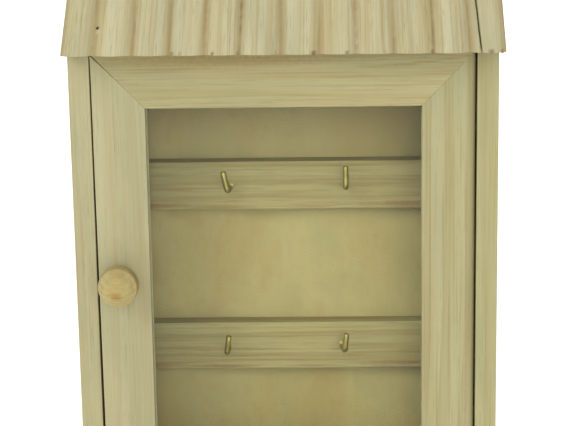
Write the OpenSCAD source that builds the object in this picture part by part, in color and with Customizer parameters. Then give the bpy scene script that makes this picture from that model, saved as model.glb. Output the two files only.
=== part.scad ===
// Wall-hung key cabinet shaped as a small house.
// The front faces -Y, the back stands on +Y, and Z = 0 is the underside of the bottom board.

/* [Case] */
// Width across the two side panels
case_w = 200; // [190:1:240]
// Depth from the front edges of the side panels to the back
case_d = 60; // [56:1:76]
// Thickness of each side panel
side_t = 10; // [8:0.5:12]
// Thickness of the bottom board
bottom_t = 10; // [8:0.5:12]
// Thickness of the board above the door
top_t = 5; // [5:0.5:8]
// Thickness of the back panel
back_t = 4; // [4:0.5:5]
// Thickness of the hanging rail behind the roof
hanging_rail_t = 8; // [8:0.5:10]

/* [Roof] */
// Height of the lower edge of the eave above the base
eave_z = 240; // [210:1:300]
// Slope of the roof in degrees
roof_slope = 37.5; // [35:0.5:40]
// Thickness of the roof board at the crests of its waves
roof_t = 8; // [7:0.5:9]
// How far the eave stands in front of the side panels
eave_out = 18; // [14:1:20]
// How far the roof stands out past the left side panel
roof_out_left = 1; // [0.5:0.5:4]
// How far the roof stands out past the right side panel
roof_out_right = 2; // [0.5:0.5:4]
// Height of a carved wave above the valleys beside it
wave_h = 1.5; // [1:0.1:2]
// Width of the strip along the right edge, measured at the eave
strip_w = 11.3; // [11:0.1:13]
// How much the strip's joint leans away from the edge, in degrees
strip_lean = 1.7; // [0:0.1:2.5]
// Width of the joint between the roof board and its strip
strip_gap = 0.5; // [0.4:0.1:1]

/* [Door] */
// Width of the two upright members of the door frame
stile_w = 24.5; // [22:0.1:28]
// Width of the top and bottom members of the door frame
rail_w = 25.5; // [22:0.1:28]
// Thickness of the door
door_t = 12; // [11:0.5:13]
// Gap along the left edge of the door
gap_left = 0.9; // [0.8:0.1:1.5]
// Gap along the hinged edge of the door
gap_right = 1; // [0.9:0.1:1.8]
// Gap above the door
gap_top = 1; // [0.8:0.1:1.5]
// Gap below the door, which holds the pivot's washer
gap_bottom = 1.5; // [1.5:0.1:2]
// Radius of the door's front edge beside the hinge
edge_r = 4; // [3.5:0.5:4.5]
// Thickness of the glass pane
glass_t = 2; // [2:0.5:3]
// Width of the rebate that holds the pane
rebate_w = 5; // [4:0.5:6]
// Depth of the rebate from the back of the door
rebate_d = 6; // [5.5:0.5:6.5]
// Height of the middle of the knob above the base
knob_z = 130.8; // [100:0.1:150]
// How far the knob sits to the left of the middle of its stile
knob_shift = 1.3; // [0:0.1:2]
// How far the knob stands in front of the door
knob_h = 24; // [22:1:27]
// Radius of the knob's head
knob_r = 9.4; // [9:0.1:10.5]

/* [Keys] */
// Height of each key rail
rail_h = 24; // [20:1:28]
// Thickness of each key rail
rail_t = 9.5; // [9:0.5:11]
// Height of the middle of the upper key rail
upper_rail_z = 164.8; // [150:0.1:175]
// Height of the middle of the lower key rail
lower_rail_z = 82.2; // [60:0.1:100]
// Wire radius of the hooks
wire_r = 1.3; // [1:0.05:1.3]
// Reach of a hook from its rail to the middle of its leg
hook_reach = 10; // [8:0.5:11]
// Usual height of a hook's leg above the middle of its stem
hook_leg = 9; // [8:0.5:10.5]

/* [Wall mounting] */
// Distance between the two keyhole hangers
hanger_pitch = 120; // [80:1:130]
// Radius of the round entry of each keyhole
entry_r = 4.5; // [4:0.25:4.5]

/* [Hidden] */
$fn = 64;

// Planes of the case
front_y = -case_d / 2;
back_y = case_d / 2;
panel_y = back_y - back_t;
inner_x = case_w / 2 - side_t;

// The roof is cut level at the eave and plumb at the back.
// Its top starts at the eave's front edge, its underside starts behind that.
eave_y = front_y - eave_out;
under_y = eave_y + roof_t / sin(roof_slope);
function under_z(y) = eave_z + (y - under_y) * tan(roof_slope);
top_board_z = under_z(front_y);
slope_len = (back_y - eave_y) / cos(roof_slope);
valley_flat = 0.3;
wave_widths = [14.5, 18, 17, 16.5, 15.5, 18.5, 18, 16.5, 17.5, 17.5, 17, 16.5];
function total(list, n) = n == 0 ? 0 : list[n - 1] + total(list, n - 1);
roof_x0 = -case_w / 2 - roof_out_left;
roof_x1 = case_w / 2 + roof_out_right;
roof_w = roof_x1 - roof_x0;
wave_scale = roof_w / total(wave_widths, len(wave_widths));

// The door fills the front between the side panels, below the top board.
door_x0 = -inner_x + gap_left;
door_x1 = inner_x - gap_right;
door_z0 = bottom_t + gap_bottom;
door_z1 = top_board_z - top_t - gap_top;
door_back_y = front_y + door_t;
rebate_y = door_back_y - rebate_d;
glass_back_y = rebate_y + glass_t;
open_x0 = door_x0 + stile_w;
open_x1 = door_x1 - stile_w;
open_z0 = door_z0 + rail_w;
open_z1 = door_z1 - rail_w;

// Pivot of the door
pivot_x = door_x1 - 6;
pivot_y = front_y + 4.5;
pin_r = 1.5;
pin_fit = 0.05;
pin_bite = 8;
washer_t = 1.2;
washer_r = 3.5;

// Catch inside the left side panel
catch_z = knob_z + 24;
catch_block = [12, 12, 26];
catch_block_y = door_back_y + 1.4;
magnet_r = 4;
magnet_t = 4;
strike_size = [9, 1, 22];
strike_x = -inner_x + 6.5;
knob_x = (door_x0 + open_x0) / 2 - knob_shift;

// Fasteners: the boards' brads are long, the back panel's and the roof's are short
brad_r = 0.7;
brad_head_r = 1.2;
long_brad = 22;
short_brad = 16;
brad_inset = 12;
panel_brad_x = 75;
wood_screw_r = 1.4;
wood_screw_head_r = 2.8;
plate_screw_r = 1.2;
plate_screw_head_r = 2.4;
strike_screw_r = 1;
strike_screw_head_r = 1.9;
knob_screw_r = 1.75;
knob_screw_head_r = 3.5;

// Keyhole hangers, measured down from the top of the back panel; hanger_z is the middle of the round entries
hanger_z = round(under_z(panel_y) - 25.7);
plate_size = [16, 1.2, 38];
plate_screw_z = [hanger_z - 10.5, hanger_z + 20.5];
pocket_r = 5;
keyhole_rise = 12;
keyhole_slot_r = 2.2;

rail_y = panel_y - rail_t;
rail_screw_x = 60;

// Hooks, bent and driven in by hand. Each is given as [distance from the middle, height above the rail's
// middle, sideways turn, lean, droop, extra length of its leg].
hook_bend_r = 2.5;
hook_shank = 7.5;
upper_left_hook = [-27.9, 0, -9, -9.5, 4.5, 0];
upper_right_hook = [28.8, 0.1, 0, 0.5, -2, 0.6];
lower_left_hook = [-30.6, -0.2, -3, 9, 6, -0.5];
lower_right_hook = [26.3, 0.6, 9, 4.5, 6, -0.8];

// Basic shapes

module block(x0, x1, y0, y1, z0, z1) {
    translate([x0, y0, z0]) cube([x1 - x0, y1 - y0, z1 - z0]);
}

// A board whose outline is drawn in depth and height, spanning x0 to x1
module side_profile(x0, x1, points) {
    translate([x0, 0, 0]) rotate([90, 0, 90]) linear_extrude(x1 - x0) polygon(points);
}

// A piece whose outline is drawn in width and height, spanning y0 to y1
module front_profile(y0, y1, points) {
    translate([0, y1, 0]) rotate([90, 0, 0]) linear_extrude(y1 - y0) polygon(points);
}

// A brad whose head is at the origin and whose point is at -Z; open is the depth of the hole above its head
module brad(length, open = 0) {
    point_h = 1.5;
    head_h = 0.6;
    translate([0, 0, -length + point_h]) cylinder(r = brad_r, h = length - point_h);
    translate([0, 0, -length]) cylinder(r1 = 0.15, r2 = brad_r, h = point_h);
    translate([0, 0, -head_h]) cylinder(r = brad_head_r, h = head_h + open);
}

// A countersunk screw whose flat head is at the origin and whose point is at -Z
module screw(length, r = wood_screw_r, head_r = wood_screw_head_r) {
    head_h = head_r - r;
    translate([0, 0, -head_h]) cylinder(r1 = r, r2 = head_r, h = head_h);
    translate([0, 0, -length + 2]) cylinder(r = r, h = length - 2 - head_h + 0.01);
    translate([0, 0, -length]) cylinder(r1 = 0.2, r2 = r, h = 2);
}

// Case

module left_side_panel() {
    color("wheat") difference() {
        side_blank(-case_w / 2, -inner_x);
        carcass_brads();
        roof_brads();
        block_screws();
    }
}

module right_side_panel() {
    color("wheat") difference() {
        side_blank(inner_x, case_w / 2);
        carcass_brads();
        roof_brads();
    }
}

// The side panels' tops are cut to the slope of the roof's underside
module side_blank(x0, x1) {
    side_profile(x0, x1, [
        [front_y, 0],
        [back_y, 0],
        [back_y, under_z(back_y)],
        [front_y, under_z(front_y)]
    ]);
}

module bottom_board() {
    color("burlywood") difference() {
        block(-inner_x, inner_x, front_y, panel_y, 0, bottom_t);
        carcass_brads();
        panel_brads();
        bottom_pin();
    }
}

module top_board() {
    color("burlywood") difference() {
        block(-inner_x, inner_x, front_y, panel_y, top_board_z - top_t, top_board_z);
        carcass_brads();
        panel_brads();
        roof_brads();
        top_pin();
    }
}

module back_panel() {
    color("tan") difference() {
        side_profile(-inner_x, inner_x, [
            [panel_y, 0],
            [back_y, 0],
            [back_y, under_z(back_y)],
            [panel_y, under_z(panel_y)]
        ]);
        panel_brads();
        key_rail_screws();
        plate_screws();
        for (side = [-1, 1]) {
            hanger_recess(side);
            hanger_pocket(side);
        }
    }
}

// The hanging rail lies behind the roof, against the back panel
module hanging_rail() {
    hanging_y = panel_y - hanging_rail_t;
    color("burlywood") difference() {
        side_profile(-inner_x, inner_x, [
            [hanging_y, top_board_z],
            [panel_y, top_board_z],
            [panel_y, under_z(panel_y) - 0.5],
            [hanging_y, under_z(hanging_y) - 0.5]
        ]);
        plate_screws();
        for (side = [-1, 1]) hanger_pocket(side);
    }
}

// Shallow seat of a keyhole plate in the back face
module hanger_recess(side) {
    x = side * hanger_pitch / 2;
    z = (plate_screw_z[0] + plate_screw_z[1]) / 2;
    half = [plate_size[0] / 2 + 0.2, plate_size[2] / 2 + 0.2];
    block(x - half[0], x + half[0], back_y - plate_size[1], back_y + 1, z - half[1], z + half[1]);
}

// Room for a wall screw's head behind a keyhole plate
module hanger_pocket(side) {
    x = side * hanger_pitch / 2;
    depth = hanging_rail_t + back_t + 1;
    front = panel_y - hanging_rail_t - 0.5;
    for (z = [hanger_z, hanger_z + keyhole_rise]) {
        translate([x, front, z]) rotate([-90, 0, 0]) cylinder(r = pocket_r, h = depth);
    }
    block(x - pocket_r, x + pocket_r, front, front + depth, hanger_z, hanger_z + keyhole_rise);
}

// Roof

// Cross-section of the roof: a flat board with one arc standing on it for each wave.
// A narrow flat is left in every valley.
module roof_section() {
    flat_t = roof_t - wave_h;
    root = 1;
    translate([roof_x0, 0]) square([roof_w, flat_t]);
    for (i = [0:len(wave_widths) - 1]) {
        x0 = roof_x0 + wave_scale * total(wave_widths, i);
        x1 = roof_x0 + wave_scale * total(wave_widths, i + 1);
        half = (x1 - x0 - valley_flat) / 2;
        arc_r = (half * half + wave_h * wave_h) / (2 * wave_h);
        intersection() {
            translate([x0, flat_t - root]) square([x1 - x0, wave_h + root]);
            translate([(x0 + x1) / 2, roof_t - arc_r]) circle(r = arc_r, $fn = 128);
        }
    }
}

// The waved board, lying along the slope and cut level at the eave and plumb at the back
module roof_blank() {
    spare = roof_t * 2;
    intersection() {
        translate([0, under_y, eave_z]) rotate([90 + roof_slope, 0, 0]) translate([0, 0, -slope_len - spare])
            linear_extrude(slope_len + spare * 2) roof_section();
        block(roof_x0 - 1, roof_x1 + 1, eave_y - 1, back_y, eave_z, under_z(back_y) + spare);
    }
}

// The joint of the edge strip, as a cutter that leans along the slope; side is -1 left of it, 1 right of it
module strip_cutter(side) {
    reach = roof_w * 2;
    joint_x = roof_x1 - strip_w;
    x = side < 0 ? -reach - strip_gap / 2 : strip_gap / 2;
    translate([joint_x, eave_y, eave_z]) rotate([roof_slope, 0, 0]) rotate([0, 0, strip_lean])
        translate([x, -reach / 2, -reach / 2]) cube([reach, reach, reach]);
}

module roof_board() {
    color("navajowhite") difference() {
        intersection() {
            roof_blank();
            strip_cutter(-1);
        }
        roof_brads(roof_t);
    }
}

module roof_edge_strip() {
    color("wheat") difference() {
        intersection() {
            roof_blank();
            strip_cutter(1);
        }
        roof_brads(roof_t);
    }
}

// One brad driven square to the slope; sink is how far its head lies below the crests of the waves
module roof_brad(x, y, sink, open) {
    z = under_z(y) + roof_t / cos(roof_slope);
    translate([x, y, z]) rotate([roof_slope, 0, 0]) translate([0, 0, -sink]) brad(short_brad, open);
}

// One brad goes into the top board near the left valley, and two go into each side panel
module roof_brads(open = 0) {
    roof_brad(-inner_x + 5.5, front_y - 3, wave_h * 0.75, open);
    for (y = [front_y + brad_inset, back_y - short_brad], side = [-1, 1]) {
        roof_brad(side * (case_w - side_t) / 2, y, wave_h * 0.25, open);
    }
}

module roof_nails() {
    color("dimgray") roof_brads();
}

// Brads of the case, driven through the side panels into the ends of the boards
module carcass_brads() {
    for (y = [front_y + brad_inset, back_y - brad_inset], z = [bottom_t / 2, top_board_z - top_t / 2]) {
        translate([-case_w / 2, y, z]) rotate([0, -90, 0]) brad(long_brad);
        translate([case_w / 2, y, z]) rotate([0, 90, 0]) brad(long_brad);
    }
}

module carcass_nails() {
    color("dimgray") carcass_brads();
}

// Brads of the back panel, driven from behind into the rear edges of the boards
module panel_brads() {
    for (x = [-panel_brad_x, 0, panel_brad_x], z = [bottom_t / 2, top_board_z - top_t / 2]) {
        translate([x, back_y, z]) rotate([-90, 0, 0]) brad(short_brad);
    }
}

module back_panel_nails() {
    color("dimgray") panel_brads();
}

// Key rails

module key_rail(z) {
    difference() {
        block(-inner_x, inner_x, rail_y, panel_y, z - rail_h / 2, z + rail_h / 2);
        key_rail_screws();
        hook_bores();
    }
}

module upper_key_rail() {
    color("burlywood") key_rail(upper_rail_z);
}

module lower_key_rail() {
    color("burlywood") key_rail(lower_rail_z);
}

// Screws driven from behind through the back panel into the rails
module key_rail_screws() {
    for (x = [-rail_screw_x, rail_screw_x], z = [upper_rail_z, lower_rail_z]) {
        translate([x, back_y, z]) rotate([-90, 0, 0]) screw(back_t + 7.5);
    }
}

module rail_screws() {
    color("silver") key_rail_screws();
}

// A hook is drawn with its stem along -Y from the rail's face and its leg upwards.

module at_hook(h, rail_z) {
    translate([h[0], rail_y, rail_z + h[1]])
        rotate([0, 0, h[2]]) rotate([0, h[3], 0]) rotate([h[4], 0, 0]) children();
}

module hook(h) {
    stem = hook_reach - hook_bend_r;
    leg = hook_leg + h[5];
    rotate([90, 0, 0]) translate([0, 0, -hook_shank]) cylinder(r = wire_r, h = hook_shank + stem);
    translate([0, -stem, hook_bend_r]) rotate([90, 0, -90]) rotate([0, 0, -90])
        rotate_extrude(angle = 90) translate([hook_bend_r, 0]) circle(r = wire_r);
    translate([0, -hook_reach, hook_bend_r]) cylinder(r = wire_r, h = leg - hook_bend_r);
    translate([0, -hook_reach, leg]) sphere(r = wire_r);
}

// The bore runs out past the rail's face, because a turned stem enters it at a slant
module hook_bore() {
    rotate([90, 0, 0]) translate([0, 0, -hook_shank]) cylinder(r = wire_r, h = hook_shank + 2);
}

module hook_bores() {
    at_hook(upper_left_hook, upper_rail_z) hook_bore();
    at_hook(upper_right_hook, upper_rail_z) hook_bore();
    at_hook(lower_left_hook, lower_rail_z) hook_bore();
    at_hook(lower_right_hook, lower_rail_z) hook_bore();
}

module hook_upper_left() {
    color("gold") at_hook(upper_left_hook, upper_rail_z) hook(upper_left_hook);
}

module hook_upper_right() {
    color("gold") at_hook(upper_right_hook, upper_rail_z) hook(upper_right_hook);
}

module hook_lower_left() {
    color("gold") at_hook(lower_left_hook, lower_rail_z) hook(lower_left_hook);
}

module hook_lower_right() {
    color("gold") at_hook(lower_right_hook, lower_rail_z) hook(lower_right_hook);
}

// Wall hangers

module hanger_plate(side) {
    x = side * hanger_pitch / 2;
    z = (plate_screw_z[0] + plate_screw_z[1]) / 2;
    half = [plate_size[0] / 2, plate_size[2] / 2];
    y0 = back_y - plate_size[1];
    difference() {
        block(x - half[0], x + half[0], y0, back_y, z - half[1], z + half[1]);
        translate([x, y0 - 1, hanger_z]) rotate([-90, 0, 0]) cylinder(r = entry_r, h = plate_size[1] + 2);
        translate([x, y0 - 1, hanger_z + keyhole_rise]) rotate([-90, 0, 0])
            cylinder(r = keyhole_slot_r, h = plate_size[1] + 2);
        block(x - keyhole_slot_r, x + keyhole_slot_r, y0 - 1, back_y + 1, hanger_z, hanger_z + keyhole_rise);
        plate_screws();
    }
}

module hanger_plate_left() {
    color("silver") hanger_plate(-1);
}

module hanger_plate_right() {
    color("silver") hanger_plate(1);
}

module plate_screws() {
    for (side = [-1, 1], z = plate_screw_z) {
        translate([side * hanger_pitch / 2, back_y, z]) rotate([-90, 0, 0])
            screw(9, plate_screw_r, plate_screw_head_r);
    }
}

module hanger_screws() {
    color("silver") plate_screws();
}

// Pivots of the door: two pins fixed in the case, running in bores in the right stile's ends

module top_pin() {
    translate([pivot_x, pivot_y, door_z1 - pin_bite])
        cylinder(r = pin_r, h = top_board_z - door_z1 + pin_bite);
}

module bottom_pin() {
    translate([pivot_x, pivot_y, 0]) cylinder(r = pin_r, h = door_z0 + pin_bite);
}

module top_pivot_pin() {
    color("silver") top_pin();
}

module bottom_pivot_pin() {
    color("silver") bottom_pin();
}

module pivot_washer() {
    color("gold") translate([pivot_x, pivot_y, bottom_t]) difference() {
        cylinder(r = washer_r, h = washer_t);
        translate([0, 0, -1]) cylinder(r = pin_r + pin_fit, h = washer_t + 2);
    }
}

// Bores in the door, 1 mm deeper than the pins reach
module pivot_bores() {
    depth = pin_bite + 1;
    translate([pivot_x, pivot_y, door_z0 - 1]) cylinder(r = pin_r + pin_fit, h = depth + 1);
    translate([pivot_x, pivot_y, door_z1 - depth]) cylinder(r = pin_r + pin_fit, h = depth + 1);
}

// Stop and catch

module door_stop_block() {
    color("burlywood") difference() {
        block(-inner_x, -inner_x + catch_block[0], catch_block_y, catch_block_y + catch_block[1],
            catch_z - catch_block[2] / 2, catch_z + catch_block[2] / 2);
        block_screws();
        magnet();
    }
}

module magnet() {
    translate([strike_x, catch_block_y, catch_z]) rotate([-90, 0, 0])
        cylinder(r = magnet_r, h = magnet_t);
}

module catch_magnet() {
    color("slategray") magnet();
}

module block_screws() {
    for (dz = [-9, 9]) {
        translate([-inner_x + catch_block[0], catch_block_y + catch_block[1] / 2, catch_z + dz])
            rotate([0, 90, 0]) screw(catch_block[0] + 7);
    }
}

module stop_block_screws() {
    color("silver") block_screws();
}

module strike_plate() {
    color("silver") difference() {
        block(strike_x - strike_size[0] / 2, strike_x + strike_size[0] / 2,
            door_back_y, door_back_y + strike_size[1],
            catch_z - strike_size[2] / 2, catch_z + strike_size[2] / 2);
        plate_fixings();
    }
}

module plate_fixings() {
    for (dz = [-8, 8]) {
        translate([strike_x, door_back_y + strike_size[1], catch_z + dz]) rotate([-90, 0, 0])
            screw(8, strike_screw_r, strike_screw_head_r);
    }
}

module strike_screws() {
    color("silver") plate_fixings();
}

// Door frame

// The door as seen from above: three square edges, and one rounded beside the hinge
module door_plan() {
    translate([door_x0, front_y]) square([door_x1 - edge_r - door_x0, door_t]);
    translate([door_x1 - edge_r, front_y + edge_r]) square([edge_r, door_t - edge_r]);
    translate([door_x1 - edge_r, front_y + edge_r]) circle(r = edge_r);
}

// One mitred member, from its outline in width and height
module member(points) {
    difference() {
        intersection() {
            translate([0, 0, door_z0]) linear_extrude(door_z1 - door_z0) door_plan();
            front_profile(front_y, door_back_y, points);
        }
        block(open_x0 - rebate_w, open_x1 + rebate_w, rebate_y, door_back_y + 1,
            open_z0 - rebate_w, open_z1 + rebate_w);
        pivot_bores();
        v_nails();
        bead_pins();
        knob_fixing();
        plate_fixings();
    }
}

module door_left_stile() {
    color("wheat") member([
        [door_x0, door_z0],
        [open_x0, open_z0],
        [open_x0, open_z1],
        [door_x0, door_z1]
    ]);
}

module door_right_stile() {
    color("wheat") member([
        [door_x1, door_z0],
        [door_x1, door_z1],
        [open_x1, open_z1],
        [open_x1, open_z0]
    ]);
}

module door_top_rail() {
    color("burlywood") member([
        [door_x0, door_z1],
        [open_x0, open_z1],
        [open_x1, open_z1],
        [door_x1, door_z1]
    ]);
}

module door_bottom_rail() {
    color("burlywood") member([
        [door_x0, door_z0],
        [door_x1, door_z0],
        [open_x1, open_z0],
        [open_x0, open_z0]
    ]);
}

// Each V-nail straddles a mitre, driven in from the back of the door
module v_nails() {
    leg = 5;
    t = 0.5;
    set = 9;
    corners = [[door_x0, door_z0, 1, 1], [door_x1, door_z0, -1, 1], [door_x0, door_z1, 1, -1],
        [door_x1, door_z1, -1, -1]];
    for (c = corners) {
        x = c[0] + c[2] * set;
        z = c[1] + c[3] * set;
        front_profile(door_back_y - 7, door_back_y, [
            [x, z],
            [x + c[2] * leg, z],
            [x + c[2] * leg, z + c[3] * t],
            [x + c[2] * t, z + c[3] * t],
            [x + c[2] * t, z + c[3] * leg],
            [x, z + c[3] * leg]
        ]);
    }
}

module mitre_v_nails() {
    color("dimgray") v_nails();
}

// Glazing

module glass_pane() {
    play = 0.4;
    color("lightblue", 0.35) block(open_x0 - rebate_w + play, open_x1 + rebate_w - play,
        rebate_y, glass_back_y, open_z0 - rebate_w + play, open_z1 + rebate_w - play);
}

// One mitred bead behind the pane; the points are its outline in width and height
module bead(points) {
    color("burlywood") difference() {
        front_profile(glass_back_y, door_back_y, points);
        bead_pins();
    }
}

module glazing_bead_left() {
    bead([
        [open_x0 - rebate_w, open_z0 - rebate_w],
        [open_x0, open_z0],
        [open_x0, open_z1],
        [open_x0 - rebate_w, open_z1 + rebate_w]
    ]);
}

module glazing_bead_right() {
    bead([
        [open_x1 + rebate_w, open_z0 - rebate_w],
        [open_x1 + rebate_w, open_z1 + rebate_w],
        [open_x1, open_z1],
        [open_x1, open_z0]
    ]);
}

module glazing_bead_top() {
    bead([
        [open_x0 - rebate_w, open_z1 + rebate_w],
        [open_x0, open_z1],
        [open_x1, open_z1],
        [open_x1 + rebate_w, open_z1 + rebate_w]
    ]);
}

module glazing_bead_bottom() {
    bead([
        [open_x0 - rebate_w, open_z0 - rebate_w],
        [open_x1 + rebate_w, open_z0 - rebate_w],
        [open_x1, open_z0],
        [open_x0, open_z0]
    ]);
}

// Headless pins through the beads into the members
module bead_pins() {
    y = (glass_back_y + door_back_y) / 2;
    r = 0.5;
    length = 10;
    for (z = [open_z0 + 30, open_z1 - 30]) {
        translate([open_x0, y, z]) rotate([0, -90, 0]) cylinder(r = r, h = length);
        translate([open_x1, y, z]) rotate([0, 90, 0]) cylinder(r = r, h = length);
    }
    for (x = [open_x0 + 25, open_x1 - 25]) {
        translate([x, y, open_z0 - length]) cylinder(r = r, h = length);
        translate([x, y, open_z1]) cylinder(r = r, h = length);
    }
}

module glazing_pins() {
    color("dimgray") bead_pins();
}

// Knob: a foot, a neck, and a thick round head with a domed face
module door_knob() {
    foot_r = 5.4;
    foot_h = 1.5;
    neck_r = 4.2;
    shoulder_r = knob_r - 1.2;
    head_z = knob_h - 16.5;
    rim_z = head_z + 4;
    face_z = knob_h - 4;
    face_r = knob_r - 1;
    dome_h = knob_h - face_z;
    dome_r = (face_r * face_r + dome_h * dome_h) / (2 * dome_h);
    color("burlywood") difference() {
        translate([knob_x, front_y, knob_z]) rotate([90, 0, 0]) {
            cylinder(r = foot_r, h = foot_h);
            cylinder(r = neck_r, h = head_z + 1);
            translate([0, 0, head_z]) cylinder(r1 = neck_r, r2 = shoulder_r, h = 2.5);
            translate([0, 0, head_z + 2.5]) cylinder(r1 = shoulder_r, r2 = knob_r, h = 1.5);
            translate([0, 0, rim_z]) cylinder(r = knob_r, h = face_z - 1.5 - rim_z);
            translate([0, 0, face_z - 1.5]) cylinder(r1 = knob_r, r2 = face_r, h = 1.5);
            intersection() {
                translate([0, 0, face_z]) cylinder(r = face_r, h = dome_h + 1);
                translate([0, 0, knob_h - dome_r]) sphere(r = dome_r);
            }
        }
        knob_fixing();
    }
}

module knob_fixing() {
    translate([knob_x, door_back_y, knob_z]) rotate([-90, 0, 0])
        screw(door_t + 13, knob_screw_r, knob_screw_head_r);
}

module knob_screw() {
    color("silver") knob_fixing();
}

left_side_panel();
right_side_panel();
bottom_board();
top_board();
back_panel();
hanging_rail();
roof_board();
roof_edge_strip();
roof_nails();
carcass_nails();
back_panel_nails();
upper_key_rail();
lower_key_rail();
rail_screws();
hook_upper_left();
hook_upper_right();
hook_lower_left();
hook_lower_right();
hanger_plate_left();
hanger_plate_right();
hanger_screws();
top_pivot_pin();
bottom_pivot_pin();
pivot_washer();
door_stop_block();
stop_block_screws();
catch_magnet();
door_left_stile();
door_right_stile();
door_top_rail();
door_bottom_rail();
mitre_v_nails();
glass_pane();
glazing_bead_left();
glazing_bead_right();
glazing_bead_top();
glazing_bead_bottom();
glazing_pins();
door_knob();
knob_screw();
strike_plate();
strike_screws();
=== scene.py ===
"""A small wooden key cabinet shaped as a house, built around its CAD frame."""
import math

import bmesh
import bpy
from mathutils import Matrix, Vector, noise


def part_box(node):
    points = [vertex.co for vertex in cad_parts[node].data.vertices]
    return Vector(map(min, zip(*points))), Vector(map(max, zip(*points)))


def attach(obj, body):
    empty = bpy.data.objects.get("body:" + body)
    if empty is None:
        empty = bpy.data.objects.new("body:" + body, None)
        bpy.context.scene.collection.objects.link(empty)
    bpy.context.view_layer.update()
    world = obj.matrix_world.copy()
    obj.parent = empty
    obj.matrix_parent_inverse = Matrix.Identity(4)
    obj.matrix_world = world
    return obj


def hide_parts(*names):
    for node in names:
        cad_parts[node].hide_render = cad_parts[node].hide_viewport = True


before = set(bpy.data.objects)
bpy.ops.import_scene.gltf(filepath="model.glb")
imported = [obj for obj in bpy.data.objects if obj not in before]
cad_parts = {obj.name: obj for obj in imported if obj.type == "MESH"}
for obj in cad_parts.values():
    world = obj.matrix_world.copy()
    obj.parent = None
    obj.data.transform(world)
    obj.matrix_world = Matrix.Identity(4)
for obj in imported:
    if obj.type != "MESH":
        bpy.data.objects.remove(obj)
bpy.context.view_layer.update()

MM = 0.001
CASE = "case"
DOOR = "door"

# ---------------------------------------------------------------- places taken from the frame

LEFT_LO, LEFT_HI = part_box("left_side_panel")
RIGHT_LO, RIGHT_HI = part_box("right_side_panel")
BACK_LO, BACK_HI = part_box("back_panel")
ROOF_LO, ROOF_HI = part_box("roof_board")
STRIP_LO, STRIP_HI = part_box("roof_edge_strip")
KNOB_LO, KNOB_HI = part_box("door_knob")
RAIL_LO, RAIL_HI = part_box("door_top_rail")
FRONT_Y = LEFT_LO.y
BACK_Y = LEFT_HI.y

# The roof's slope follows the side panels' top edges, from the top board up to the back.
SLOPE = math.atan2(LEFT_HI.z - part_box("top_board")[1].z, BACK_Y - FRONT_Y)


# ---------------------------------------------------------------- small helpers


def srgb(r, g, b, gain=1.0):
    """An everyday 0 to 255 colour as the linear colour that a shader wants."""

    def linear(c):
        c /= 255.0
        return c / 12.92 if c <= 0.04045 else ((c + 0.055) / 1.055) ** 2.4

    return (linear(r) * gain, linear(g) * gain, linear(b) * gain, 1.0)


def smooth_step(x):
    x = min(1.0, max(0.0, x))
    return x * x * (3.0 - 2.0 * x)


def wander(x, seed):
    """A smooth number from about -1 to 1 that depends only on x and seed."""
    return noise.noise(Vector((x, seed * 7.31, seed * 1.77)))


def new_object(name, mesh, body, material, slot):
    obj = bpy.data.objects.new(name, mesh)
    bpy.context.scene.collection.objects.link(obj)
    mesh.materials.clear()
    mesh.materials.append(material)
    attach(obj, body)
    return obj


def mesh_from(name, verts, faces):
    mesh = bpy.data.meshes.new(name)
    mesh.from_pydata(verts, [], faces)
    mesh.validate()
    bm = bmesh.new()
    bm.from_mesh(mesh)
    bmesh.ops.remove_doubles(bm, verts=bm.verts, dist=1e-7)
    bmesh.ops.recalc_face_normals(bm, faces=bm.faces)
    bm.to_mesh(mesh)
    bm.free()
    return mesh


def shade(mesh, angle_deg):
    """Smooth shading, kept crisp where faces meet at more than the angle."""
    mesh.shade_smooth()
    mesh.set_sharp_from_angle(angle=math.radians(angle_deg))


def weighted_normals(obj):
    mod = obj.modifiers.new("weighted", "WEIGHTED_NORMAL")
    mod.keep_sharp = True
    mod.weight = 90


# ---------------------------------------------------------------- material graphs


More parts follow.
